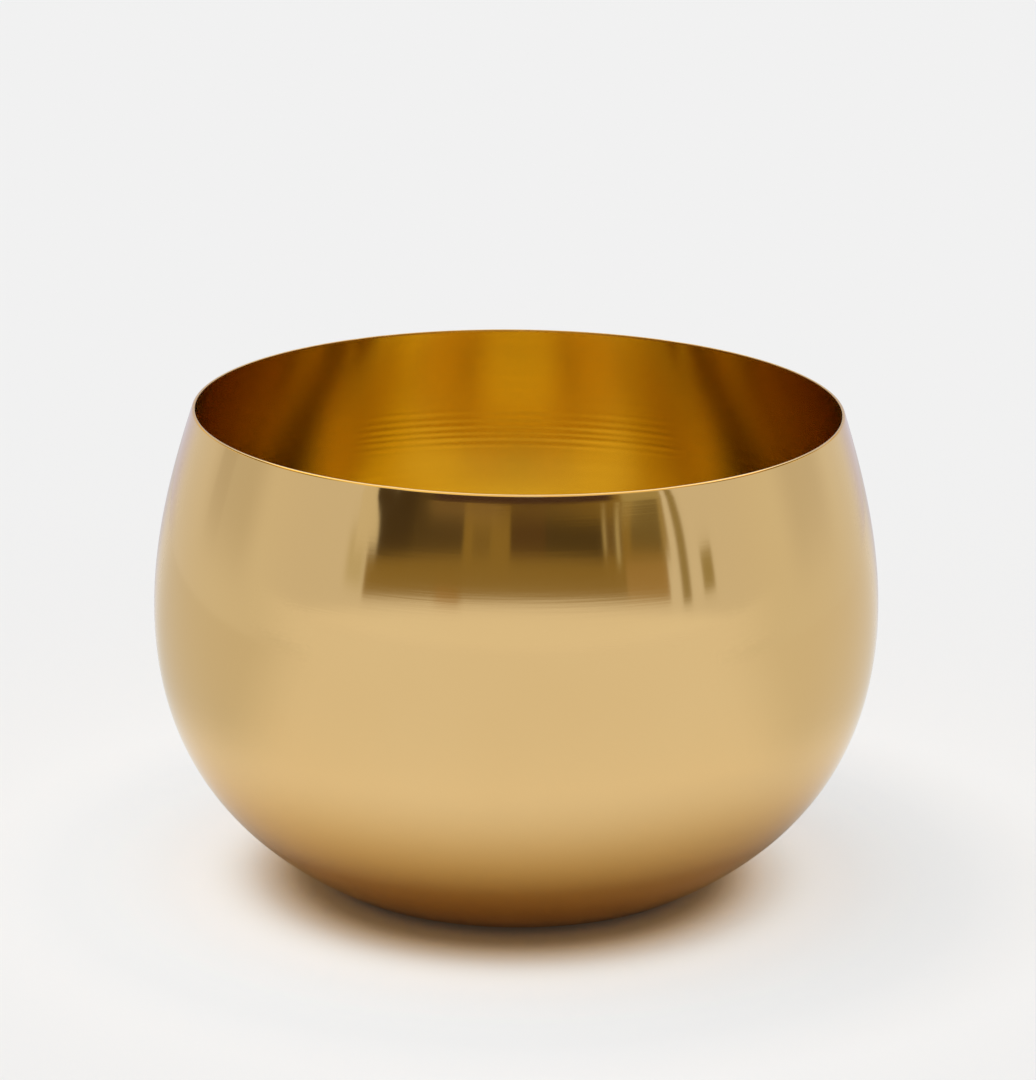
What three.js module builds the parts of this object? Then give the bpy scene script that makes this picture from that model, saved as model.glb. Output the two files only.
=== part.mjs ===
// A spun brass planter pot: one thin sheet shell on four felt feet, in millimetres, +Z up.
// The origin is on the table, under the middle of the pot.
import * as THREE from "three";

// Shell, outside sizes.
const BELLY_RADIUS = 125;
const BELLY_HEIGHT = 97;
const RIM_RADIUS = 111.5;
const RIM_HEIGHT = 167.5;
const RIM_LEAN = THREE.MathUtils.degToRad(15.4); // the cut edge leans in from upright
const BASE_RADIUS = 67;
const BASE_RISE = THREE.MathUtils.degToRad(29); // the side leaves the base this steeply
const SHEET = 1; // wall thickness

// How far each Bezier handle reaches from its end of the side's two curves.
const HANDLE_OVER_BELLY = 28;
const HANDLE_UNDER_RIM = 28;
const HANDLE_UNDER_BELLY = 57.5;
const HANDLE_OVER_BASE = 27.5;

// The base is pressed up in the middle, so that the pot stands on a flat ring.
const PANEL_RADIUS = 38;
const PANEL_STEP_WIDTH = 4;
const PANEL_RISE = 1.5;

// Felt feet, stuck to the flat ring.
const FOOT_COUNT = 4;
const FOOT_RADIUS = 8;
const FOOT_CIRCLE_RADIUS = 55;
const FELT_THICKNESS = 2;
const FILM_THICKNESS = 0.3;
const FILM_RADIUS = FOOT_RADIUS - 0.5;
const BASE_HEIGHT = FELT_THICKNESS + FILM_THICKNESS;

// Facets.
const TURN_STEPS = 64;
const LOWER_STEPS = 10;
const UPPER_STEPS = 8;
const FOOT_STEPS = 32;

const spunBrass = new THREE.MeshStandardMaterial({ color: 0xd9b982, roughness: 0.3, metalness: 1 });
const darkFelt = new THREE.MeshStandardMaterial({ color: 0x2c241e, roughness: 1, metalness: 0 });
const clearFilm = new THREE.MeshStandardMaterial({ color: 0xc9bfa8, roughness: 0.4, metalness: 0 });

// The side below the belly, from the base edge up.
function lowerCurve() {
  return new THREE.CubicBezierCurve(
    new THREE.Vector2(BASE_RADIUS, BASE_HEIGHT),
    new THREE.Vector2(
      BASE_RADIUS + HANDLE_OVER_BASE * Math.cos(BASE_RISE),
      BASE_HEIGHT + HANDLE_OVER_BASE * Math.sin(BASE_RISE),
    ),
    new THREE.Vector2(BELLY_RADIUS, BELLY_HEIGHT - HANDLE_UNDER_BELLY),
    new THREE.Vector2(BELLY_RADIUS, BELLY_HEIGHT),
  );
}

// The shoulder, from the belly up to the cut edge.
function upperCurve() {
  return new THREE.CubicBezierCurve(
    new THREE.Vector2(BELLY_RADIUS, BELLY_HEIGHT),
    new THREE.Vector2(BELLY_RADIUS, BELLY_HEIGHT + HANDLE_OVER_BELLY),
    new THREE.Vector2(
      RIM_RADIUS + HANDLE_UNDER_RIM * Math.sin(RIM_LEAN),
      RIM_HEIGHT - HANDLE_UNDER_RIM * Math.cos(RIM_LEAN),
    ),
    new THREE.Vector2(RIM_RADIUS, RIM_HEIGHT),
  );
}

// The outside of the sheet, from the middle of the base to the cut edge.
function outsideProfile() {
  return [
    new THREE.Vector2(0, BASE_HEIGHT + PANEL_RISE),
    new THREE.Vector2(PANEL_RADIUS, BASE_HEIGHT + PANEL_RISE),
    new THREE.Vector2(PANEL_RADIUS + PANEL_STEP_WIDTH, BASE_HEIGHT),
    ...lowerCurve().getPoints(LOWER_STEPS),
    ...upperCurve().getPoints(UPPER_STEPS).slice(1),
  ];
}

// The same line moved inwards by the sheet's thickness, mitred at its corners.
function insideProfile(outside) {
  return outside.map((point, i) => {
    const before = outside[Math.max(i - 1, 0)];
    const after = outside[Math.min(i + 1, outside.length - 1)];
    const arriving = point.clone().sub(before);
    const leaving = after.clone().sub(point);
    const first = (i > 0 ? arriving : leaving).normalize();
    const second = (i < outside.length - 1 ? leaving : arriving).normalize();
    const along = first.clone().add(second).normalize();
    const reach = SHEET / along.dot(first);
    return new THREE.Vector2(Math.max(point.x - along.y * reach, 0), point.y + along.x * reach);
  });
}

// A lathe turns about Y, so the finished form is stood up along Z.
function turned(profile, steps) {
  return new THREE.LatheGeometry(profile, steps).rotateX(Math.PI / 2);
}

function bowl() {
  const outside = outsideProfile();
  const inside = insideProfile(outside).reverse();
  const mesh = new THREE.Mesh(turned([...outside, ...inside], TURN_STEPS), spunBrass);
  mesh.name = "bowl";
  return mesh;
}

// An upright disc that stands on the height z.
function disc(name, radius, thickness, z, material) {
  const geometry = new THREE.CylinderGeometry(radius, radius, thickness, FOOT_STEPS);
  geometry.rotateX(Math.PI / 2).translate(0, 0, z + thickness / 2);
  const mesh = new THREE.Mesh(geometry, material);
  mesh.name = name;
  return mesh;
}

// One felt disc and the film that holds it under the base.
function foot(number) {
  const group = new THREE.Group();
  const angle = ((number - 0.5) / FOOT_COUNT) * 2 * Math.PI;
  group.position.set(FOOT_CIRCLE_RADIUS * Math.cos(angle), FOOT_CIRCLE_RADIUS * Math.sin(angle), 0);
  group.add(disc(`felt_foot_${number}`, FOOT_RADIUS, FELT_THICKNESS, 0, darkFelt));
  group.add(disc(`foot_adhesive_${number}`, FILM_RADIUS, FILM_THICKNESS, FELT_THICKNESS, clearFilm));
  return group;
}

const planterPot = new THREE.Group();
planterPot.add(bowl());
for (let number = 1; number <= FOOT_COUNT; number += 1) {
  planterPot.add(foot(number));
}

export default planterPot;
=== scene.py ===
import math

import bpy
import numpy as np
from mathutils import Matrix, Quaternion, Vector, noise


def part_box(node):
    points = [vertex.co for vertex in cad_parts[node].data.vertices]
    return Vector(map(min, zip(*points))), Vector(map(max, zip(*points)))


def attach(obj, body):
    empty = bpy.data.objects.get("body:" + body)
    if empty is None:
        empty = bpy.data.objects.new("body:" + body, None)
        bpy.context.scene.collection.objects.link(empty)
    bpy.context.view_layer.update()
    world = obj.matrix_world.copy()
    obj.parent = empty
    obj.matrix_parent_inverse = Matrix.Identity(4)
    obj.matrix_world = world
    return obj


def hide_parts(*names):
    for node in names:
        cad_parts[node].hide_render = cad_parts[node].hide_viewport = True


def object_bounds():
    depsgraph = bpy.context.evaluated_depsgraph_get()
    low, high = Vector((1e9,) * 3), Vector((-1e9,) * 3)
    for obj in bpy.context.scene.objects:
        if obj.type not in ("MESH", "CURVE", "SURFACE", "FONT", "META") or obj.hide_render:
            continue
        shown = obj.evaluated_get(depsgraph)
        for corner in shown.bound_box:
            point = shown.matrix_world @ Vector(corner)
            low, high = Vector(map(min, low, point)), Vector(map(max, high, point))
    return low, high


# A spun brass planter pot on four felt feet, standing in a pale studio.
# Sizes in the dictionaries are millimetres and degrees, the scene itself is in metres.

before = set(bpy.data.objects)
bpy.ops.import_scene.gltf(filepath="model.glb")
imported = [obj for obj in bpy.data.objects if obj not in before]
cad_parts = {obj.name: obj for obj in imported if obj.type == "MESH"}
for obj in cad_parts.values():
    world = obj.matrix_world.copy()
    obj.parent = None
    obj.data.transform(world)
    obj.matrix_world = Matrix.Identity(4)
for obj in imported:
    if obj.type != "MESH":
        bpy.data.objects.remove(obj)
cadLow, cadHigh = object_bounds()
mm = 0.001
scene = bpy.context.scene
scene.view_settings.view_transform = "Standard"
print("frame loaded,", len(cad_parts), "nodes")


# sRGB hex to the linear colour that the shaders take
def linear(hexColour):
    channels = [int(hexColour[i:i + 2], 16) / 255 for i in (0, 2, 4)]
    return [c / 12.92 if c <= 0.04045 else ((c + 0.055) / 1.055) ** 2.4 for c in channels] + [1.0]


# adds one node: settings are its own properties, values fill its sockets, links join them to other sockets
def addNode(tree, kind, values=None, links=None, **settings):
    node = tree.nodes.new(kind)
    for name, value in settings.items():
        setattr(node, name, value)
    for name, value in (values or {}).items():
        node.inputs[name].default_value = value
    for name, source in (links or {}).items():
        tree.links.new(source, node.inputs[name])
    return node


def newMaterial(name):
    material = bpy.data.materials.new(name)
    material.use_nodes = True
    material.node_tree.nodes.clear()
    return material, material.node_tree


def linkObject(name, mesh):
    thing = bpy.data.objects.new(name, mesh)
    scene.collection.objects.link(thing)
    return thing


# the point that a direction from the pot's middle leads to: azimuth 0 is the front, positive to the right
def towards(azimuth, elevation, distance, height=0.13):
    a, e = math.radians(azimuth), math.radians(elevation)
    flat = distance * math.cos(e)
    return Vector((flat * math.sin(a), -flat * math.cos(a), height + distance * math.sin(e)))


viewCamera = {
    "lens": 155.7,
    "distance": 1621.5,
    "elevation": 17.56,
    "aimAcross": 0.35,
    "aimHeight": 119.6,
    "roll": 0.69,
}


def makeCamera(spec):
    middle = (cadLow.z + cadHigh.z) / 2
    place = towards(0, spec["elevation"], spec["distance"] * mm, middle)
    aim = Vector((spec["aimAcross"] * mm, 0, spec["aimHeight"] * mm))
    data = bpy.data.cameras.new("camera")
    data.lens = spec["lens"]
    camera = bpy.data.objects.new("camera", data)
    scene.collection.objects.link(camera)
    camera.location = place
    camera.rotation_mode = "QUATERNION"
    roll = Quaternion((0, 0, 1), math.radians(spec["roll"]))
    camera.rotation_quaternion = (aim - place).to_track_quat("-Z", "Y") @ roll
    scene.camera = camera


makeCamera(viewCamera)
print("camera placed")


# Noise in streaks that run round the pot, with their length and their distance up its side in millimetres.
# The along attribute is the way up the side.
def lengthwiseNoise(tree, place, streakLength, streakGap, detail):
    along = addNode(tree, "ShaderNodeAttribute", attribute_name="along")
    axes = addNode(tree, "ShaderNodeSeparateXYZ", links={0: place.outputs["Object"]})
    acrossX = addNode(tree, "ShaderNodeMath", {1: 1 / (streakLength * mm)}, {0: axes.outputs["X"]},
                      operation="MULTIPLY")
    acrossY = addNode(tree, "ShaderNodeMath", {1: 1 / (streakLength * mm)}, {0: axes.outputs["Y"]},
                      operation="MULTIPLY")
    up = addNode(tree, "ShaderNodeMath", {1: 1 / streakGap}, {0: along.outputs["Fac"]}, operation="MULTIPLY")
    streak = addNode(tree, "ShaderNodeCombineXYZ",
                     links={"X": acrossX.outputs[0], "Y": acrossY.outputs[0], "Z": up.outputs[0]})
    return addNode(tree, "ShaderNodeTexNoise", {"Scale": 1.0, "Detail": detail},
                   {"Vector": streak.outputs[0]})


# noise in spots that are about so many millimetres across
def spotNoise(tree, place, size, detail, twist=0.0):
    return addNode(tree, "ShaderNodeTexNoise",
                   {"Scale": 1 / (size * mm), "Detail": detail, "Distortion": twist},
                   {"Vector": place.outputs["Object"]})


# the quarter of a turn that lays the polishing marks round the pot
roundThePot = 0.25

satin = {
    "streakLength": 40,
    "streakGap": 0.5,
    "patchSize": 62.5,
    "pale": "E8C68B",
    "warm": "E4C084",
    # deep is the colour of the painted shade low down on the outside
    "deep": "E6B152",
    "paintedShadeFrom": 68,
    "paintedShadeAllOver": 20,
    "roughness": (0.075, 0.095),
    "brushing": 0.6,
    "bumpShare": 0.02,
    "bumpDepth": 0.2,
}


# Spun brass, satin polished on the lathe: the fine marks run round the pot, so a reflection is smeared a
# little upwards and downwards and stays crisp sideways. The thin clear lacquer keeps it pale yellow.
def satinBrass():
    material, tree = newMaterial("satin spun brass")
    place = addNode(tree, "ShaderNodeTexCoord")
    marks = lengthwiseNoise(tree, place, satin["streakLength"], satin["streakGap"], 3.0)
    # handling and storage leave slow, faint patches of warmer metal
    patches = spotNoise(tree, place, satin["patchSize"], 2.0)
    side = addNode(tree, "ShaderNodeMix", {6: linear(satin["pale"]), 7: linear(satin["warm"])},
                   {0: patches.outputs["Fac"]}, data_type="RGBA")
    # painted shade: the brass is given a deeper, more orange tone low down, towards the base, which darkens
    # the lower side on top of the floor shadow that it reflects
    axes = addNode(tree, "ShaderNodeSeparateXYZ", links={0: place.outputs["Object"]})
    low = addNode(tree, "ShaderNodeMapRange",
                  {"From Min": satin["paintedShadeFrom"] * mm, "From Max": satin["paintedShadeAllOver"] * mm},
                  {"Value": axes.outputs["Z"]}, interpolation_type="SMOOTHSTEP")
    colour = addNode(tree, "ShaderNodeMix", {7: linear(satin["deep"])},
                     {0: low.outputs[0], 6: side.outputs[2]}, data_type="RGBA")
    glossiest, dullest = satin["roughness"]
    gloss = addNode(tree, "ShaderNodeMapRange", {"To Min": glossiest, "To Max": dullest},
                    {"Value": marks.outputs["Fac"]})
    bump = addNode(tree, "ShaderNodeBump",
                   {"Strength": satin["bumpShare"], "Distance": satin["bumpDepth"] * mm},
                   {"Height": marks.outputs["Fac"]})
    shader = addNode(tree, "ShaderNodeBsdfPrincipled",
                     {"Metallic": 1.0, "Anisotropic": satin["brushing"],
                      "Anisotropic Rotation": roundThePot},
                     {"Base Color": colour.outputs[2], "Roughness": gloss.outputs[0],
                      "Normal": bump.outputs[0]})
    addNode(tree, "ShaderNodeOutputMaterial", links={"Surface": shader.outputs[0]})
    return material


rolled = {
    "streakLength": 80,
    "streakGap": 2,
    "bright": "E0C76A",
    "deep": "DABE60",
    "roughness": (0.12, 0.17),
    "brushing": 0.5,
    "bumpShare": 0.03,
    "bumpDepth": 0.2,
}


# The inside is left as the forming roller made it: a deeper gold that shines back and forth between the
# walls, with long streaks round the pot.
def rolledBrass():
    material, tree = newMaterial("rolled brass inside")
    place = addNode(tree, "ShaderNodeTexCoord")
    rings = lengthwiseNoise(tree, place, rolled["streakLength"], rolled["streakGap"], 2.0)
    colour = addNode(tree, "ShaderNodeMix", {6: linear(rolled["bright"]), 7: linear(rolled["deep"])},
                     {0: rings.outputs["Fac"]}, data_type="RGBA")
    glossiest, dullest = rolled["roughness"]
    gloss = addNode(tree, "ShaderNodeMapRange", {"To Min": glossiest, "To Max": dullest},
                    {"Value": rings.outputs["Fac"]})
    bump = addNode(tree, "ShaderNodeBump",
                   {"Strength": rolled["bumpShare"], "Distance": rolled["bumpDepth"] * mm},
                   {"Height": rings.outputs["Fac"]})
    shader = addNode(tree, "ShaderNodeBsdfPrincipled",
                     {"Metallic": 1.0, "Anisotropic": rolled["brushing"],
                      "Anisotropic Rotation": roundThePot},
                     {"Base Color": colour.outputs[2], "Roughness": gloss.outputs[0],
                      "Normal": bump.outputs[0]}, distribution="MULTI_GGX")
    addNode(tree, "ShaderNodeOutputMaterial", links={"Surface": shader.outputs[0]})
    return material


emery = {
    "grainSize": 10 / 9,
    "bright": "D9BA86",
    "dark": "C6A36C",
    "roughness": (0.22, 0.36),
}


# The cut edge, broken with emery cloth: duller than the sides and a little uneven.
def emeryBrass():
    material, tree = newMaterial("emery finished brass edge")
    place = addNode(tree, "ShaderNodeTexCoord")
    grit = spotNoise(tree, place, emery["grainSize"], 2.0)
    colour = addNode(tree, "ShaderNodeMix", {6: linear(emery["bright"]), 7: linear(emery["dark"])},
                     {0: grit.outputs["Fac"]}, data_type="RGBA")
    glossiest, dullest = emery["roughness"]
    gloss = addNode(tree, "ShaderNodeMapRange", {"To Min": glossiest, "To Max": dullest},
                    {"Value": grit.outputs["Fac"]})
    shader = addNode(tree, "ShaderNodeBsdfPrincipled", {"Metallic": 1.0},
                     {"Base Color": colour.outputs[2], "Roughness": gloss.outputs[0]})
    addNode(tree, "ShaderNodeOutputMaterial", links={"Surface": shader.outputs[0]})
    return material


bowlShape = {
    "bellyHeight": 97,
    "rimRadius": 111.35,
    "rimLean": 17.5,
    "baseRadius": 67,
    "baseRise": 29,
    "sheet": 1.0,
    "handleOverBelly": 28,
    "handleUnderRim": 16,
    "handleUnderBelly": 57.5,
    "handleOverBase": 27.5,
    "panelRadius": 38,
    "panelStepWidth": 4,
    "panelRise": 1.5,
    "cornerReach": 3.5,
    "cornerSteps": 8,
    "panelCornerReach": 1.5,
    "panelSpacing": 6,
    "baseSpacing": 4,
    "curveSteps": 200,
    "edgeRound": 0.8,
    "edgeSteps": 8,
    "innerEdgeRound": 0.2,
    "innerEdgeSteps": 4,
    "ringSpacing": 2.6,
    "toolRingSpacing": 0.45,
    "toolRingFrom": 117,
    "toolRingTo": 138,
    "turnSteps": 360,
    "mandrelRadius": 60,
}


def bezier(ends, steps):
    t = np.linspace(0, 1, steps + 1)[:, None]
    a, b, c, d = [np.array(p, float) for p in ends]
    return (1 - t) ** 3 * a + 3 * (1 - t) ** 2 * t * b + 3 * (1 - t) * t ** 2 * c + t ** 3 * d


def lengths(line):
    return np.concatenate([[0], np.cumsum(np.linalg.norm(np.diff(line, axis=0), axis=1))])


# the same line with evenly spaced points
def respaced(line, spacing):
    run = lengths(line)
    count = max(2, int(round(run[-1] / spacing)))
    at = np.linspace(0, run[-1], count + 1)
    return np.stack([np.interp(at, run, line[:, k]) for k in (0, 1)], 1)


# a corner between two straight runs, as a short curve
def eased(before, corner, after, reach, steps=6):
    before, corner, after = [np.array(p, float) for p in (before, corner, after)]
    start = corner + (before - corner) / np.linalg.norm(before - corner) * reach
    end = corner + (after - corner) / np.linalg.norm(after - corner) * reach
    t = np.linspace(0, 1, steps + 1)[:, None]
    return (1 - t) ** 2 * start + 2 * (1 - t) * t * corner + t ** 2 * end


# the direction straight out of the sheet at each point of a line
def sideways(line):
    step = np.gradient(line, axis=0)
    step /= np.linalg.norm(step, axis=1)[:, None]
    return np.stack([step[:, 1], -step[:, 0]], 1)


# radius and height of the outside, from the middle of the base up to just under the rim
def outsideLine(shape):
    low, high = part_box("bowl")
    base, belly, rimTop = low.z / mm, high.x / mm, high.z / mm
    rise, lean = math.radians(shape["baseRise"]), math.radians(shape["rimLean"])
    lower = bezier([
        (shape["baseRadius"], base),
        (shape["baseRadius"] + shape["handleOverBase"] * math.cos(rise),
         base + shape["handleOverBase"] * math.sin(rise)),
        (belly, shape["bellyHeight"] - shape["handleUnderBelly"]),
        (belly, shape["bellyHeight"]),
    ], shape["curveSteps"])
    upper = bezier([
        (belly, shape["bellyHeight"]),
        (belly, shape["bellyHeight"] + shape["handleOverBelly"]),
        (shape["rimRadius"] + shape["handleUnderRim"] * math.sin(lean),
         rimTop - shape["handleUnderRim"] * math.cos(lean)),
        (shape["rimRadius"], rimTop),
    ], shape["curveSteps"])
    side = np.concatenate([lower, upper[1:]])
    run = lengths(side)
    kept = side[(run > shape["cornerReach"]) & (run < run[-1] - shape["edgeRound"])]
    panelEdge = (shape["panelRadius"], base + shape["panelRise"])
    stepFoot = (shape["panelRadius"] + shape["panelStepWidth"], base)
    corner = (shape["baseRadius"], base)
    reach = shape["panelCornerReach"]
    gap = 0.1  # keeps a flat run clear of the curve that follows it
    panel = np.array([(0, panelEdge[1]), (panelEdge[0] - reach - gap, panelEdge[1])])
    ring = np.array([(stepFoot[0] + reach + gap, base), (corner[0] - shape["cornerReach"] - gap, base)])
    return np.concatenate([
        respaced(panel, shape["panelSpacing"]),
        eased((0, panelEdge[1]), panelEdge, stepFoot, reach),
        eased(panelEdge, stepFoot, corner, reach),
        respaced(ring, shape["baseSpacing"]),
        eased(stepFoot, corner, kept[0], shape["cornerReach"], shape["cornerSteps"]),
        respaced(kept, shape["ringSpacing"])[1:],
    ])


# the rounded edge, from the outside over to the inside
def edgeLine(shape, last, direction, outward):
    big, small = shape["edgeRound"], shape["innerEdgeRound"]
    centre = last - outward * big
    outer = [centre + big * (outward * math.cos(a) + direction * math.sin(a))
             for a in np.linspace(0, math.pi / 2, shape["edgeSteps"] + 1)[1:]]
    centre = last + direction * (big - small) - outward * big
    inner = [centre + small * (direction * math.cos(a) - outward * math.sin(a))
             for a in np.linspace(0, math.pi / 2, shape["innerEdgeSteps"] + 1)[1:]]
    return np.array(outer + inner)


def bowlProfile(shape):
    outside = outsideLine(shape)
    outward = sideways(outside)
    direction = np.array([-outward[-1][1], outward[-1][0]])
    edge = edgeLine(shape, outside[-1], direction, outward[-1])
    inside = (outside - outward * shape["sheet"])[::-1]
    inside[-1][0] = 0
    # finer rings where the roller left its marks
    marked = (inside[:, 1] > shape["toolRingFrom"]) & (inside[:, 1] < shape["toolRingTo"])
    first, last = np.flatnonzero(marked)[[0, -1]]
    inside = np.concatenate([
        inside[:first], respaced(inside[first:last + 1], shape["toolRingSpacing"]), inside[last + 1:],
    ])
    line = np.concatenate([outside, edge, inside])
    # the lower half of the rounding is polished with the side
    polished = len(outside) + shape["edgeSteps"] // 2
    zone = [0.0] * polished + [1.0] * (len(outside) + len(edge) - polished) + [2.0] * len(inside)
    return line, zone


# Geometry Nodes: a profile line is carried round the axis, as on a spinning lathe. Its zone is 0 on the
# outside, 1 on the cut edge and 2 inside.
def spinTree():
    tree = bpy.data.node_groups.new("spin on the lathe", "GeometryNodeTree")
    face = tree.interface
    face.new_socket("Profile", in_out="INPUT", socket_type="NodeSocketGeometry")
    sockets = {
        "Mandrel Radius": face.new_socket("Mandrel Radius", in_out="INPUT", socket_type="NodeSocketFloat"),
        "Turn Steps": face.new_socket("Turn Steps", in_out="INPUT", socket_type="NodeSocketInt"),
        "Outside": face.new_socket("Outside", in_out="INPUT", socket_type="NodeSocketMaterial"),
        "Edge": face.new_socket("Edge", in_out="INPUT", socket_type="NodeSocketMaterial"),
        "Inside": face.new_socket("Inside", in_out="INPUT", socket_type="NodeSocketMaterial"),
    }
    face.new_socket("Bowl", in_out="OUTPUT", socket_type="NodeSocketGeometry")
    given = addNode(tree, "NodeGroupInput")
    rail = addNode(tree, "GeometryNodeCurvePrimitiveCircle",
                   links={"Radius": given.outputs["Mandrel Radius"],
                          "Resolution": given.outputs["Turn Steps"]})
    profile = addNode(tree, "GeometryNodeMeshToCurve", links={"Mesh": given.outputs["Profile"]})
    spun = addNode(tree, "GeometryNodeCurveToMesh",
                   links={"Curve": rail.outputs["Curve"], "Profile Curve": profile.outputs["Curve"]})
    # the rings that shrink to a point on the axis become one point each
    closed = addNode(tree, "GeometryNodeMergeByDistance", {"Distance": 0.01 * mm},
                     {"Geometry": spun.outputs["Mesh"]})
    # the sweep leaves the faces turned to the metal's inner side
    outward = addNode(tree, "GeometryNodeFlipFaces", links={"Mesh": closed.outputs["Geometry"]})
    smooth = addNode(tree, "GeometryNodeSetShadeSmooth", links={"Geometry": outward.outputs["Mesh"]})
    real = addNode(tree, "GeometryNodeRealizeInstances", links={"Geometry": smooth.outputs["Geometry"]})
    # a face between two zones goes with the lower one
    zone = addNode(tree, "GeometryNodeInputNamedAttribute", {"Name": "zone"}, data_type="FLOAT")
    beyondOutside = addNode(tree, "FunctionNodeCompare", {"B": 0.6}, {"A": zone.outputs["Attribute"]},
                            operation="GREATER_THAN")
    beyondEdge = addNode(tree, "FunctionNodeCompare", {"B": 1.6}, {"A": zone.outputs["Attribute"]},
                         operation="GREATER_THAN")
    outside = addNode(tree, "GeometryNodeSetMaterial",
                      links={"Geometry": real.outputs["Geometry"], "Material": given.outputs["Outside"]})
    edge = addNode(tree, "GeometryNodeSetMaterial",
                   links={"Geometry": outside.outputs["Geometry"], "Material": given.outputs["Edge"],
                          "Selection": beyondOutside.outputs["Result"]})
    inside = addNode(tree, "GeometryNodeSetMaterial",
                     links={"Geometry": edge.outputs["Geometry"], "Material": given.outputs["Inside"],
                            "Selection": beyondEdge.outputs["Result"]})
    addNode(tree, "NodeGroupOutput", links={"Bowl": inside.outputs["Geometry"]})
    return tree, {name: socket.identifier for name, socket in sockets.items()}


# runs a Geometry Nodes tree on a mesh and keeps the plain mesh that comes out
def grown(name, mesh, tree, inputs):
    seed = linkObject(name + " seed", mesh)
    modifier = seed.modifiers.new("nodes", "NODES")
    modifier.node_group = tree
    for identifier, value in inputs.items():
        modifier[identifier] = value
    result = bpy.data.meshes.new_from_object(seed.evaluated_get(bpy.context.evaluated_depsgraph_get()))
    bpy.data.objects.remove(seed)
    # the tree can leave an empty material slot in front of the filled ones
    while None in list(result.materials):
        result.materials.pop(index=list(result.materials).index(None))
    result.name = name
    return linkObject(name, result)


def makeBowl(shape):
    line, zone = bowlProfile(shape)
    mesh = bpy.data.meshes.new("bowl profile")
    # the lathe node carries x outwards from the mandrel and y downwards
    points = [((r - shape["mandrelRadius"]) * mm, -z * mm, 0) for r, z in line]
    mesh.from_pydata(points, [(i, i + 1) for i in range(len(points) - 1)], [])
    mesh.attributes.new("zone", "FLOAT", "POINT").data.foreach_set("value", zone)
    mesh.attributes.new("along", "FLOAT", "POINT").data.foreach_set("value", lengths(line))
    tree, ids = spinTree()
    bowl = grown("spun_bowl", mesh, tree, {
        ids["Mandrel Radius"]: shape["mandrelRadius"] * mm,
        ids["Turn Steps"]: shape["turnSteps"],
        ids["Outside"]: satinBrass(),
        ids["Edge"]: emeryBrass(),
        ids["Inside"]: rolledBrass(),
    })
    shakeSides(bowl.data)
    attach(bowl, "root")
    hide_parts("bowl")


# Where the thin edge was gripped and trimmed it has a few shallow flutes, which fade downwards.
rimFlutes = [
    {"at": 249, "depth": 0.22, "width": 4.5, "fade": 7},
    {"at": 122, "depth": 0.10, "width": 2.6, "fade": 10},
    {"at": 118, "depth": -0.08, "width": 3.5, "fade": 13},
    {"at": 59, "depth": 0.10, "width": 2.6, "fade": 10},
    {"at": 55, "depth": -0.08, "width": 4.0, "fade": 14},
    {"at": 293, "depth": -0.25, "width": 9.0, "fade": 8},
]

# Rings that the forming roller pressed inside the shoulder. Each runs over a part of the turn only.
toolRings = [
    {"height": 134.0, "depth": 0.010, "width": 0.8, "middle": 84, "reach": 50},
    {"height": 130.8, "depth": 0.016, "width": 0.7, "middle": 96, "reach": 40},
    {"height": 128.2, "depth": 0.022, "width": 0.8, "middle": 88, "reach": 46},
    {"height": 125.6, "depth": 0.020, "width": 0.7, "middle": 100, "reach": 34},
    {"height": 123.4, "depth": 0.022, "width": 0.8, "middle": 84, "reach": 44},
    {"height": 120.6, "depth": 0.014, "width": 0.7, "middle": 92, "reach": 30},
]


# moves the points of the side in or out: the flutes move the whole sheet, the rings only its inner face
def shakeSides(mesh):
    co = np.zeros(len(mesh.vertices) * 3)
    mesh.vertices.foreach_get("co", co)
    co = co.reshape(-1, 3)
    zone = np.zeros(len(mesh.vertices))
    mesh.attributes["zone"].data.foreach_get("value", zone)
    radius = np.hypot(co[:, 0], co[:, 1])
    angle = np.degrees(np.arctan2(co[:, 1], co[:, 0]))
    height = co[:, 2] / mm
    below = height.max() - height
    inward = np.zeros(len(co))
    for flute in rimFlutes:
        away = (angle - flute["at"] + 180) % 360 - 180
        across = np.radians(away) * radius / mm / flute["width"]
        inward += flute["depth"] * np.exp(-across ** 2 - (below / flute["fade"]) ** 1.5)
    for ring in toolRings:
        away = (angle - ring["middle"] + 180) % 360 - 180
        pressed = np.exp(-((height - ring["height"]) / ring["width"]) ** 2 - (away / ring["reach"]) ** 4)
        inward -= np.where(zone > 1.5, ring["depth"] * pressed, 0)
    scale = 1 - inward * mm / np.maximum(radius, 0.01)
    co[:, 0] *= scale
    co[:, 1] *= scale
    mesh.vertices.foreach_set("co", co.ravel())
    mesh.update()


makeBowl(bowlShape)
print("bowl spun")


# the frame's numbered nodes that share a name, each with its number and its box in millimetres
def numbered(name):
    found = []
    while "%s_%d" % (name, len(found) + 1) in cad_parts:
        node = "%s_%d" % (name, len(found) + 1)
        low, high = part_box(node)
        found.append((len(found) + 1, node, low / mm, high / mm))
    return found


wool = {
    "tuftSize": 0.4,
    "tuftTwist": 1.5,
    "clumpSize": 2.5,
    "dark": "271F18",
    "pale": "453628",
    "clumped": "3A2D22",
    "roughness": 0.95,
    "sheen": 0.5,
    "sheenRoughness": 0.6,
    "bumpShare": 0.7,
    "bumpDepth": 0.2,
}


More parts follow.
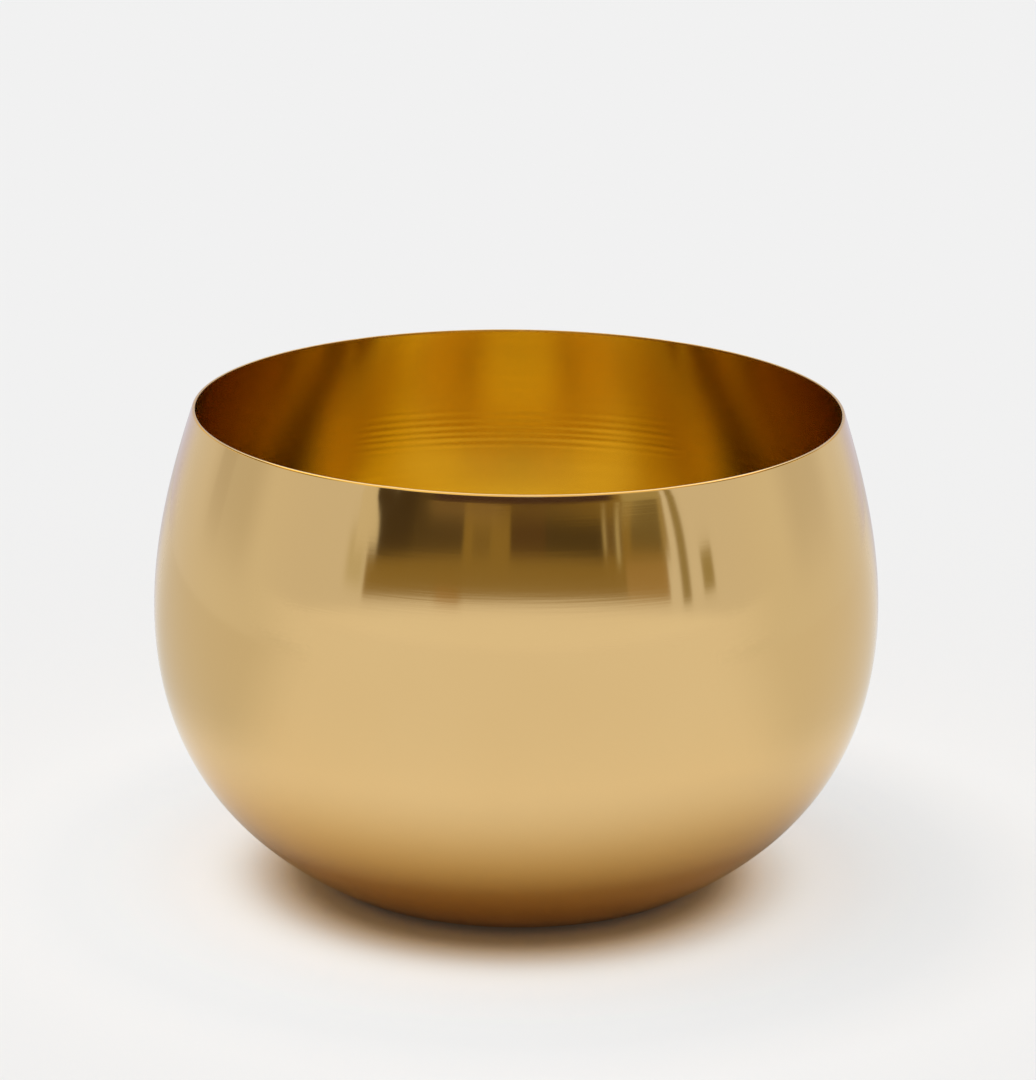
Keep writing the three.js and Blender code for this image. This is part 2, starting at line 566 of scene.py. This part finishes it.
# Pressed wool felt: dull and dark brown, a mat of fine crossed fibres that catches light at its rim.
def woolFelt():
    material, tree = newMaterial("pressed wool felt")
    place = addNode(tree, "ShaderNodeTexCoord")
    # single fibres are too thin to show here, so they are drawn in tufts
    tufts = spotNoise(tree, place, wool["tuftSize"], 4.0, wool["tuftTwist"])
    clumps = spotNoise(tree, place, wool["clumpSize"], 2.0)
    fibres = addNode(tree, "ShaderNodeMix", {6: linear(wool["dark"]), 7: linear(wool["pale"])},
                     {0: tufts.outputs["Fac"]}, data_type="RGBA")
    colour = addNode(tree, "ShaderNodeMix", {7: linear(wool["clumped"])},
                     {0: clumps.outputs["Fac"], 6: fibres.outputs[2]}, data_type="RGBA")
    bump = addNode(tree, "ShaderNodeBump",
                   {"Strength": wool["bumpShare"], "Distance": wool["bumpDepth"] * mm},
                   {"Height": tufts.outputs["Fac"]})
    shader = addNode(tree, "ShaderNodeBsdfPrincipled",
                     {"Roughness": wool["roughness"], "Sheen Weight": wool["sheen"],
                      "Sheen Roughness": wool["sheenRoughness"]},
                     {"Base Color": colour.outputs[2], "Normal": bump.outputs[0]})
    addNode(tree, "ShaderNodeOutputMaterial", links={"Surface": shader.outputs[0]})
    return material


acrylic = {
    "cloudSize": 2,
    "pale": "CDC4A6",
    "deep": "BDB290",
    "roughness": (0.35, 0.6),
    "bumpShare": 0.2,
    "bumpDepth": 0.1,
    "ior": 1.47,
}


# Acrylic adhesive film: a yellowish plastic layer with clouds of glue, half glossy where it is squeezed out.
def acrylicFilm():
    material, tree = newMaterial("acrylic adhesive film")
    place = addNode(tree, "ShaderNodeTexCoord")
    clouds = spotNoise(tree, place, acrylic["cloudSize"], 3.0)
    colour = addNode(tree, "ShaderNodeMix", {6: linear(acrylic["pale"]), 7: linear(acrylic["deep"])},
                     {0: clouds.outputs["Fac"]}, data_type="RGBA")
    glossiest, dullest = acrylic["roughness"]
    gloss = addNode(tree, "ShaderNodeMapRange", {"To Min": glossiest, "To Max": dullest},
                    {"Value": clouds.outputs["Fac"]})
    bump = addNode(tree, "ShaderNodeBump",
                   {"Strength": acrylic["bumpShare"], "Distance": acrylic["bumpDepth"] * mm},
                   {"Height": clouds.outputs["Fac"]})
    shader = addNode(tree, "ShaderNodeBsdfPrincipled", {"IOR": acrylic["ior"]},
                     {"Base Color": colour.outputs[2], "Roughness": gloss.outputs[0],
                      "Normal": bump.outputs[0]})
    addNode(tree, "ShaderNodeOutputMaterial", links={"Surface": shader.outputs[0]})
    return material


# a closed turned body about an upright axis, from (radius, height) pairs that start and end on that axis
def turned(name, line, steps, middle):
    points = [(0, 0, line[0][1])]
    for radius, height in line[1:-1]:
        for i in range(steps):
            angle = 2 * math.pi * i / steps
            points.append((radius * math.cos(angle), radius * math.sin(angle), height))
    points.append((0, 0, line[-1][1]))
    rows = len(line) - 2
    faces = []
    for i in range(steps):
        j = (i + 1) % steps
        faces.append((0, 1 + j, 1 + i))
        for row in range(rows - 1):
            low, high = 1 + row * steps, 1 + (row + 1) * steps
            faces.append((low + i, low + j, high + j, high + i))
        top = 1 + (rows - 1) * steps
        faces.append((top + i, top + j, len(points) - 1))
    mesh = bpy.data.meshes.new(name)
    mesh.from_pydata([((x + middle[0]) * mm, (y + middle[1]) * mm, z * mm) for x, y, z in points], [], faces)
    mesh.shade_smooth()
    return mesh


# the outline of a round disc with rounded edges, from the middle below to the middle above
def discLine(radius, low, high, edgeRound, spacing):
    corner = np.linspace(0, math.pi / 2, 5)  # four steps round each edge
    inner = radius - edgeRound
    flat = np.linspace(0, inner, max(2, int(inner / spacing)))
    lowEdge = [(inner + edgeRound * math.sin(a), low + edgeRound * (1 - math.cos(a))) for a in corner[1:]]
    highEdge = [(inner + edgeRound * math.cos(a), high - edgeRound * (1 - math.sin(a))) for a in corner]
    rise = [(radius, z) for z in np.linspace(low + edgeRound, high - edgeRound, 5)[1:-1]]
    return [(r, low) for r in flat] + lowEdge + rise + highEdge + [(r, high) for r in flat[::-1][1:]]


feltPad = {
    "edgeRound": 0.45,
    "pointSpacing": 0.7,
    "turnSteps": 72,
    "napDepth": 0.12,
    "napSize": 0.9,
    "fibresPerSquareMillimetre": 5.0,
    "fibreLength": 0.7,
    "fibreThickness": 0.06,
    "fibreLean": 25,
    "seed": 7,
    "fill": 1.0,
}


# Geometry Nodes: short loose hairs stand out of the cut side of a felt pad
def fibreTree():
    tree = bpy.data.node_groups.new("loose felt hairs", "GeometryNodeTree")
    face = tree.interface
    face.new_socket("Pad", in_out="INPUT", socket_type="NodeSocketGeometry")
    floats = ("Hairs Per Square Metre", "Hair Length", "Hair Radius", "Lean", "Lowest", "Highest")
    sockets = {name: face.new_socket(name, in_out="INPUT", socket_type="NodeSocketFloat") for name in floats}
    sockets["Seed"] = face.new_socket("Seed", in_out="INPUT", socket_type="NodeSocketInt")
    sockets["Felt"] = face.new_socket("Felt", in_out="INPUT", socket_type="NodeSocketMaterial")
    face.new_socket("Hairy Pad", in_out="OUTPUT", socket_type="NodeSocketGeometry")
    given = addNode(tree, "NodeGroupInput")
    place = addNode(tree, "GeometryNodeInputPosition")
    height = addNode(tree, "ShaderNodeSeparateXYZ", links={0: place.outputs["Position"]})
    above = addNode(tree, "FunctionNodeCompare",
                    links={"A": height.outputs["Z"], "B": given.outputs["Lowest"]},
                    operation="GREATER_THAN")
    under = addNode(tree, "FunctionNodeCompare",
                    links={"A": height.outputs["Z"], "B": given.outputs["Highest"]},
                    operation="LESS_THAN")
    onSide = addNode(tree, "FunctionNodeBooleanMath",
                     links={0: above.outputs["Result"], 1: under.outputs["Result"]},
                     operation="AND")
    roots = addNode(tree, "GeometryNodeDistributePointsOnFaces",
                    links={"Mesh": given.outputs["Pad"], "Selection": onSide.outputs[0],
                           "Density": given.outputs["Hairs Per Square Metre"], "Seed": given.outputs["Seed"]})
    tip = addNode(tree, "ShaderNodeCombineXYZ", links={"Z": given.outputs["Hair Length"]})
    line = addNode(tree, "GeometryNodeCurvePrimitiveLine", links={"End": tip.outputs[0]})
    # three sides are enough for a hair
    ring = addNode(tree, "GeometryNodeCurvePrimitiveCircle", {"Resolution": 3},
                   {"Radius": given.outputs["Hair Radius"]})
    hair = addNode(tree, "GeometryNodeCurveToMesh", {"Fill Caps": True},
                   {"Curve": line.outputs["Curve"], "Profile Curve": ring.outputs["Curve"]})
    leanBack = addNode(tree, "ShaderNodeMath", {1: -1.0}, {0: given.outputs["Lean"]}, operation="MULTIPLY")
    least = addNode(tree, "ShaderNodeCombineXYZ", links={"X": leanBack.outputs[0], "Y": leanBack.outputs[0]})
    most = addNode(tree, "ShaderNodeCombineXYZ",
                   links={"X": given.outputs["Lean"], "Y": given.outputs["Lean"]})
    lean = addNode(tree, "FunctionNodeRandomValue",
                   links={0: least.outputs[0], 1: most.outputs[0], "Seed": given.outputs["Seed"]},
                   data_type="FLOAT_VECTOR")
    turn = addNode(tree, "FunctionNodeRotateRotation",
                   links={0: roots.outputs["Rotation"], 1: lean.outputs["Value"]},
                   rotation_space="LOCAL")
    # the shortest hairs have 0.4 of the full length
    size = addNode(tree, "FunctionNodeRandomValue", {2: 0.4, 3: 1.0}, {"Seed": given.outputs["Seed"]})
    hairs = addNode(tree, "GeometryNodeInstanceOnPoints",
                    links={"Points": roots.outputs["Points"], "Instance": hair.outputs["Mesh"],
                           "Rotation": turn.outputs[0], "Scale": size.outputs[1]})
    both = addNode(tree, "GeometryNodeJoinGeometry")
    tree.links.new(hairs.outputs["Instances"], both.inputs[0])
    tree.links.new(given.outputs["Pad"], both.inputs[0])
    real = addNode(tree, "GeometryNodeRealizeInstances", links={"Geometry": both.outputs[0]})
    felt = addNode(tree, "GeometryNodeSetMaterial",
                   links={"Geometry": real.outputs["Geometry"], "Material": given.outputs["Felt"]})
    addNode(tree, "NodeGroupOutput", links={"Hairy Pad": felt.outputs["Geometry"]})
    return tree, {name: socket.identifier for name, socket in sockets.items()}


# the cut and rubbed faces of the felt are uneven; the top stays flat, because it is glued
def roughen(mesh, spec, high):
    for vertex in mesh.vertices:
        at = vertex.co / mm
        if at.z < high - spec["edgeRound"]:
            pull = 0.5 + 0.5 * noise.noise(at / spec["napSize"])
            vertex.co -= vertex.normal * spec["napDepth"] * pull * mm
    mesh.update()


def makePads(spec):
    tree, ids = fibreTree()
    felt = woolFelt()
    for number, node, low, high in numbered("felt_foot"):
        middle = ((low.x + high.x) / 2, (low.y + high.y) / 2)
        line = discLine((high.x - low.x) / 2, low.z, high.z, spec["edgeRound"], spec["pointSpacing"])
        mesh = turned("felt pad", line, spec["turnSteps"], middle)
        roughen(mesh, spec, high.z)
        # the hairs start far enough from the table and the glue to stay clear of both
        reach = spec["fibreLength"] * math.sin(math.radians(spec["fibreLean"])) + spec["fibreThickness"]
        pad = grown("felt_pad_%d" % number, mesh, tree, {
            ids["Hairs Per Square Metre"]: spec["fibresPerSquareMillimetre"] / mm ** 2,
            ids["Hair Length"]: spec["fibreLength"] * mm,
            ids["Hair Radius"]: spec["fibreThickness"] * mm / 2,
            ids["Lean"]: math.radians(spec["fibreLean"]),
            ids["Lowest"]: (low.z + reach + spec["edgeRound"] / 2) * mm,
            ids["Highest"]: (high.z - reach - spec["edgeRound"] / 2) * mm,
            ids["Seed"]: spec["seed"] + number,
            ids["Felt"]: felt,
        })
        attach(pad, "root")
        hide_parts(node)


adhesiveDisc = {
    "edgeRound": 0.1,
    "pointSpacing": 1.0,
    "turnSteps": 72,
    "wave": 0.08,
    "waves": 9,
}


# the film's edge is a little wavy, where the glue crept under the pot's weight
def makeFilms(spec):
    film = acrylicFilm()
    for number, node, low, high in numbered("foot_adhesive"):
        middle = Vector(((low.x + high.x) / 2, (low.y + high.y) / 2, 0))
        radius = (high.x - low.x) / 2
        line = discLine(radius, low.z, high.z, spec["edgeRound"], spec["pointSpacing"])
        mesh = turned("adhesive film", line, spec["turnSteps"], middle)
        for vertex in mesh.vertices:
            out = vertex.co / mm - middle
            angle = math.atan2(out.y, out.x)
            share = (math.hypot(out.x, out.y) / radius) ** 4
            back = spec["wave"] * share * (0.5 + 0.5 * math.sin(spec["waves"] * angle + number))
            vertex.co -= Vector((math.cos(angle), math.sin(angle), 0)) * back * mm
        mesh.materials.append(film)
        disc = linkObject("adhesive_disc_%d" % number, mesh)
        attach(disc, "root")
        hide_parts(node)


makePads(feltPad)
makeFilms(adhesiveDisc)
print("felt pads and adhesive discs made")

# light is passed to and fro between the walls of the bowl
scene.cycles.glossy_bounces = 12
scene.cycles.max_bounces = 16
scene.cycles.transparent_max_bounces = 24

# the studio's distances are metres
studio = {
    "floorRadius": 6.0,
    "floorSides": 96,
    "floorColour": "EDEDED",
    # the share of the floor's painted light that the pot's reflections see
    "paintedLightInReflections": 0.2,
    "skyFill": 0.06,
    "backdrop": 0.879,
    "sunStrength": 3.0,
    "sunAngle": 55,
    "sunLean": 2.5,
    "domeRadius": 5.6,
    "sheetColumns": 20,
    "sheetRows": 8,
    "fadeSteps": 6,
}


# a glow that fades out where the mesh's cover attribute goes to 0
def glow(name, colour, strength):
    material, tree = newMaterial(name)
    cover = addNode(tree, "ShaderNodeAttribute", attribute_name="cover")
    clear = addNode(tree, "ShaderNodeBsdfTransparent")
    light = addNode(tree, "ShaderNodeEmission", {"Color": linear(colour), "Strength": strength})
    mixed = addNode(tree, "ShaderNodeMixShader",
                    links={0: cover.outputs["Fac"], 1: clear.outputs[0], 2: light.outputs[0]})
    addNode(tree, "ShaderNodeOutputMaterial", links={"Surface": mixed.outputs[0]})
    material.cycles.emission_sampling = "NONE"
    return material


# places from one end to the other, closer together over the fading stretch at each end, with their cover
def stretch(ends, fade, count):
    low, high = ends
    share = np.linspace(0, 1, studio["fadeSteps"] + 1)[:-1]
    rise = list(share ** 2 * (3 - 2 * share))
    places = list(low + share * fade) + list(np.linspace(low + fade, high - fade, count))
    places += list(high - share[::-1] * fade)
    return list(zip(places, rise + [1] * count + rise[::-1]))


# A mesh sheet seen by reflections only, so it lights nothing and hides nothing. Its point function turns
# two coordinates into a place; each coordinate has two ends and a stretch over which the sheet fades out.
def reflectorSheet(name, point, across, up, colour, strength=1.0):
    columns, rows = stretch(*across, studio["sheetColumns"]), stretch(*up, studio["sheetRows"])
    points = [point(a, b) for a, _ in columns for b, _ in rows]
    cover = [ca * cb for _, ca in columns for _, cb in rows]
    count = len(rows)
    faces = [(i * count + j, i * count + j + 1, (i + 1) * count + j + 1, (i + 1) * count + j)
             for i in range(len(columns) - 1) for j in range(count - 1)]
    mesh = bpy.data.meshes.new(name)
    mesh.from_pydata(points, [], faces)
    mesh.attributes.new("cover", "FLOAT", "POINT").data.foreach_set("value", cover)
    mesh.materials.append(glow(name, colour, strength))
    sheet = linkObject(name, mesh)
    sheet.visible_camera = False
    sheet.visible_diffuse = False
    sheet.visible_transmission = False
    sheet.visible_volume_scatter = False
    sheet.visible_shadow = False


# a standing wall between two azimuths and two elevations; sag is how much lower it hangs towards the sides
def wall(name, azimuths, elevations, distance, colour, fades=(0.6, 0.6), sag=0, strength=1.0):
    def point(azimuth, elevation):
        return towards(azimuth, elevation - sag * (1 - math.cos(math.radians(azimuth))), distance)
    reflectorSheet(name, point, (azimuths, fades[0]), (elevations, fades[1]), colour, strength)


# a sheet that lies a little over the floor between two azimuths and two distances, seen only in reflections:
# painted shade on the floor, darker than the lit floor
def paintedShadeSheet(name, azimuths, distances, colour, fades, lift):
    reflectorSheet(name, lambda azimuth, distance: towards(azimuth, 0, distance, lift * mm),
                   (azimuths, fades[0]), (distances, fades[1]), colour)


def makeSurround():
    def point(azimuth, elevation):
        return towards(azimuth, elevation, studio["domeRadius"], 0)
    reflectorSheet("studio dome", point, ((-180, 180), 0), ((-90, 90), 0), "DFDFDF")
    # white table edge in front, and the flats that stand close on both sides
    wall("white bench", (-110, 110), (-16, 7.5), 4.0, "F3F3F3", fades=(20, 2.5), sag=12)
    wall("left flat", (-156, -60), (-24, 20), 0.74, "E2E2E0", fades=(26, 6))
    wall("right flat", (60, 156), (-24, 20), 0.74, "E3E3E0", fades=(26, 6))
    wall("back flat", (132, 228), (-24, 20), 0.73, "D8D6E6", fades=(16, 6))
    wall("left pillar", (-120, -82), (-7, 22), 0.70, "D3D2CE", fades=(12, 12))
    wall("left pillar edge", (-113, -103), (-4, 22), 0.69, "CDCBC6", fades=(2, 12))
    wall("right pillar", (86, 122), (-7, 22), 0.70, "D6D5D2", fades=(13, 12))
    # painted shade: beside and behind the pot these sheets darken the reflected floor
    paintedShadeSheet("left mat", (-158, -56), (0.12, 1.0), "DCDBD7", fades=(30, 0.14), lift=1)
    paintedShadeSheet("right mat", (56, 158), (0.12, 1.0), "E2E1DD", fades=(30, 0.14), lift=1)
    paintedShadeSheet("back mat", (140, 220), (0.12, 1.0), "D3D0D6", fades=(16, 0.14), lift=3)
    # the dark end of the room behind the camera; straight rails in the room sag towards the sides
    rail = 13
    wall("doorway", (-49.1, 49.1), (7.3, 30), 5.0, "917C42", sag=9.5)
    wall("doorway left side", (-57, -48), (4, 14), 5.1, "CBC8B5", fades=(3, 3))
    wall("doorway step", (-27, -16), (5.6, 9), 4.95, "A08248", fades=(3, 1.2))
    wall("left frame", (-54, -45.4), (13.5, 30), 4.75, "DCDAD0", fades=(0.8, 3.5), sag=rail)
    wall("left window", (-48.9, -17.2), (13.9, 30), 4.8, "54472E", fades=(0.6, 1.0), sag=rail)
    wall("left window corner", (-48.9, -33), (14.2, 30), 4.78, "483C28", fades=(4, 1.0), sag=rail)
    wall("lit curtain", (-33, -2), (17.9, 19.4), 4.7, "A08A5C", fades=(6, 0.5), sag=6)
    wall("gap cupboard", (-15, -8), (13.9, 17.6), 4.7, "7F6C3C", fades=(1.5, 0.8), sag=rail)
    wall("middle window", (-2.4, 28.2), (13.9, 18.7), 4.8, "483D26", fades=(0.5, 0.5), sag=rail)
    wall("middle window left pane", (-2.4, 10), (13.9, 18.7), 4.78, "55422A", fades=(1, 0.5), sag=rail)
    wall("lintel", (-30, 34), (19.2, 30), 4.6, "4B3830", fades=(4, 0.4), sag=3)
    wall("window post", (28, 34.5), (14.2, 19), 4.7, "705F3C", fades=(0.6, 0.8), sag=rail)
    wall("left light tube", (28.0, 29.4), (14.6, 19.4), 4.6, "BCB595", fades=(0.5, 0.6), sag=rail)
    wall("right light tube", (32.0, 33.8), (13.2, 19.6), 4.6, "C2BC9C", fades=(0.6, 0.8), sag=rail)
    wall("right window", (36.5, 48.6), (15.2, 18.6), 4.8, "6C603C", fades=(1.5, 0.6), sag=rail)
    wall("right blind", (34.0, 50.8), (18.2, 32), 4.85, "B0A67C", fades=(0.6, 0.6), sag=rail)
    wall("right frame", (47, 50.8), (13.5, 32), 4.87, "A09060", fades=(1, 3), sag=rail)
    wall("right shelf", (34.4, 49.1), (7.2, 14), 4.9, "A68E5C", fades=(0.8, 1.2), sag=9.5)
    wall("lamp stand", (52.6, 56.4), (2.6, 30), 4.8, "9A8E64", fades=(0.8, 0.8))
    wall("lamp box", (60.2, 65.2), (3.2, 9.6), 4.8, "A2976C", fades=(0.8, 0.8))
    # what the inside of the bowl sees above
    wall("ceiling", (-180, 180), (72, 90), 5.0, "EAD4C7", fades=(0, 8), strength=1.2)
    wall("ceiling ring", (-180, 180), (54, 80), 5.05, "F6E5B9", fades=(0, 8), strength=1.3)
    wall("left front ceiling", (-100, 10), (32, 66), 5.1, "FBDE6B", fades=(20, 8), strength=1.16)
    wall("right front ceiling", (-10, 100), (32, 66), 5.1, "DDBA59", fades=(20, 8), strength=1.14)
    wall("left back ceiling", (-176, -76), (32, 66), 5.12, "FAE282", fades=(20, 12), strength=1.56)
    wall("right back ceiling", (76, 176), (32, 66), 5.12, "FAE4B8", fades=(20, 12), strength=1.56)
    wall("back ceiling", (140, 220), (30, 66), 5.1, "FBFFFF", fades=(20, 8), strength=2.0)
    wall("left back flat", (-172, -100), (6, 24), 4.9, "EAC65C", fades=(14, 5), strength=1.1)
    wall("left back curtain", (-148, -62), (18, 46), 4.95, "8A763E", fades=(16, 7))
    wall("left back screen", (-127, -104), (9, 22), 4.88, "FFDC78", fades=(8, 4), strength=2.0)
    wall("left side lamp", (-113, -86), (26, 46), 4.9, "F0C060", fades=(9, 6))
    wall("right back flat", (100, 168), (6, 24), 4.9, "D4AE5F", fades=(14, 5), strength=1.1)
    wall("right back curtain", (62, 148), (18, 46), 4.95, "8A763E", fades=(16, 7))
    wall("right back screen", (104, 127), (9, 22), 4.88, "FFDC78", fades=(8, 4), strength=1.6)
    wall("right side lamp", (86, 113), (26, 46), 4.9, "E0AC58", fades=(9, 6))


# The floor carries painted light: a glow painted round the pot, strongest just outside it, paints out the
# outer part of the pot's shadow so that only the shadow close under it stays, and it is warm next to the pot
# as painted light bounced off the brass; far out a faint, even glow is added. Each pair is a distance from
# the middle in millimetres and the painted light's colour there.
paintedFloorLight = [
    (0, "000000"), (71, "000000"), (80, "8A7A66"), (90, "B8B4AF"), (100, "BFC2C2"), (110, "AFB2B5"),
    (120, "91979C"), (132, "747E86"), (145, "505E68"), (160, "203A4A"), (185, "001824"), (260, "000000"),
    (500, "262626"), (900, "282828"),
]
# the ring of painted light is centred a little off the pot's axis
paintedLightCentre = (-1, -4)


def makeFloor():
    mesh = bpy.data.meshes.new("floor")
    sides = studio["floorSides"]
    ring = [towards(360 * i / sides, 0, studio["floorRadius"], 0) for i in range(sides)]
    mesh.from_pydata(ring, [], [tuple(range(sides))])
    floor = linkObject("floor", mesh)
    material, tree = newMaterial("white floor with painted light")
    side = addNode(tree, "ShaderNodeNewGeometry")
    ray = addNode(tree, "ShaderNodeLightPath")
    frosted = addNode(tree, "ShaderNodeBsdfDiffuse", {"Color": linear(studio["floorColour"])})
    shifted = addNode(tree, "ShaderNodeVectorMath", {1: (paintedLightCentre[0] * mm, paintedLightCentre[1] * mm, 0)},
                      {0: side.outputs["Position"]}, operation="SUBTRACT")
    distance = addNode(tree, "ShaderNodeVectorMath", links={0: shifted.outputs[0]}, operation="LENGTH")
    ramp = addNode(tree, "ShaderNodeValToRGB", links={"Fac": distance.outputs["Value"]})
    ramp.color_ramp.interpolation = "B_SPLINE"
    stops = ramp.color_ramp.elements
    while len(stops) < len(paintedFloorLight):
        stops.new(0.5)
    for stop, (place, colour) in zip(stops, paintedFloorLight):
        stop.position = place * mm
        stop.color = linear(colour)
    # the painted light lights nothing: the camera sees it at full strength, and the pot's reflections see
    # this share of it, a painted reflection that brightens the pot's lower side
    seen = addNode(tree, "ShaderNodeMath", {1: studio["paintedLightInReflections"]},
                   {0: ray.outputs["Is Glossy Ray"], 2: ray.outputs["Is Camera Ray"]},
                   operation="MULTIPLY_ADD")
    paintedGlow = addNode(tree, "ShaderNodeEmission",
                    links={"Color": ramp.outputs["Color"], "Strength": seen.outputs[0]})
    lit = addNode(tree, "ShaderNodeAddShader", links={0: frosted.outputs[0], 1: paintedGlow.outputs[0]})
    # It is clear for whoever looks from below, so that the feet and the base can be seen. A ray that came
    # in through the lower face counts as transmitted, and leaves freely after the pot has reflected it.
    clear = addNode(tree, "ShaderNodeBsdfTransparent")
    cameFromBelow = addNode(tree, "ShaderNodeMath", {1: 0.0}, {0: ray.outputs["Transmission Depth"]},
                            operation="GREATER_THAN")
    upper = addNode(tree, "ShaderNodeMixShader",
                    links={0: cameFromBelow.outputs[0], 1: lit.outputs[0], 2: clear.outputs[0]})
    lower = addNode(tree, "ShaderNodeBsdfRefraction",
                    {"Color": linear("FFFFFF"), "Roughness": 0.0, "IOR": 1.0})
    both = addNode(tree, "ShaderNodeMixShader",
                   links={0: side.outputs["Backfacing"], 1: upper.outputs[0], 2: lower.outputs[0]})
    addNode(tree, "ShaderNodeOutputMaterial", links={"Surface": both.outputs[0]})
    material.cycles.emission_sampling = "NONE"
    mesh.materials.append(material)


def makeLights():
    world = bpy.data.worlds.new("studio air")
    world.use_nodes = True
    tree = world.node_tree
    tree.nodes.clear()
    ray = addNode(tree, "ShaderNodeLightPath")
    seen = addNode(tree, "ShaderNodeMath",
                   links={0: ray.outputs["Is Camera Ray"], 1: ray.outputs["Transmission Depth"]},
                   operation="MAXIMUM", use_clamp=True)
    level = addNode(tree, "ShaderNodeMapRange", {"To Min": studio["skyFill"], "To Max": studio["backdrop"]},
                    {"Value": seen.outputs[0]})
    air = addNode(tree, "ShaderNodeBackground", {"Color": linear("FFFFFF")}, {"Strength": level.outputs[0]})
    addNode(tree, "ShaderNodeOutputWorld", links={"Surface": air.outputs[0]})
    scene.world = world
    data = bpy.data.lights.new("overhead softbox", "SUN")
    data.energy = studio["sunStrength"]
    data.angle = math.radians(studio["sunAngle"])
    lamp = bpy.data.objects.new("overhead softbox", data)
    scene.collection.objects.link(lamp)
    lamp.rotation_euler = (0, -math.radians(studio["sunLean"]), 0)
    lamp.visible_glossy = False


makeFloor()
makeLights()
makeSurround()
print("studio set")
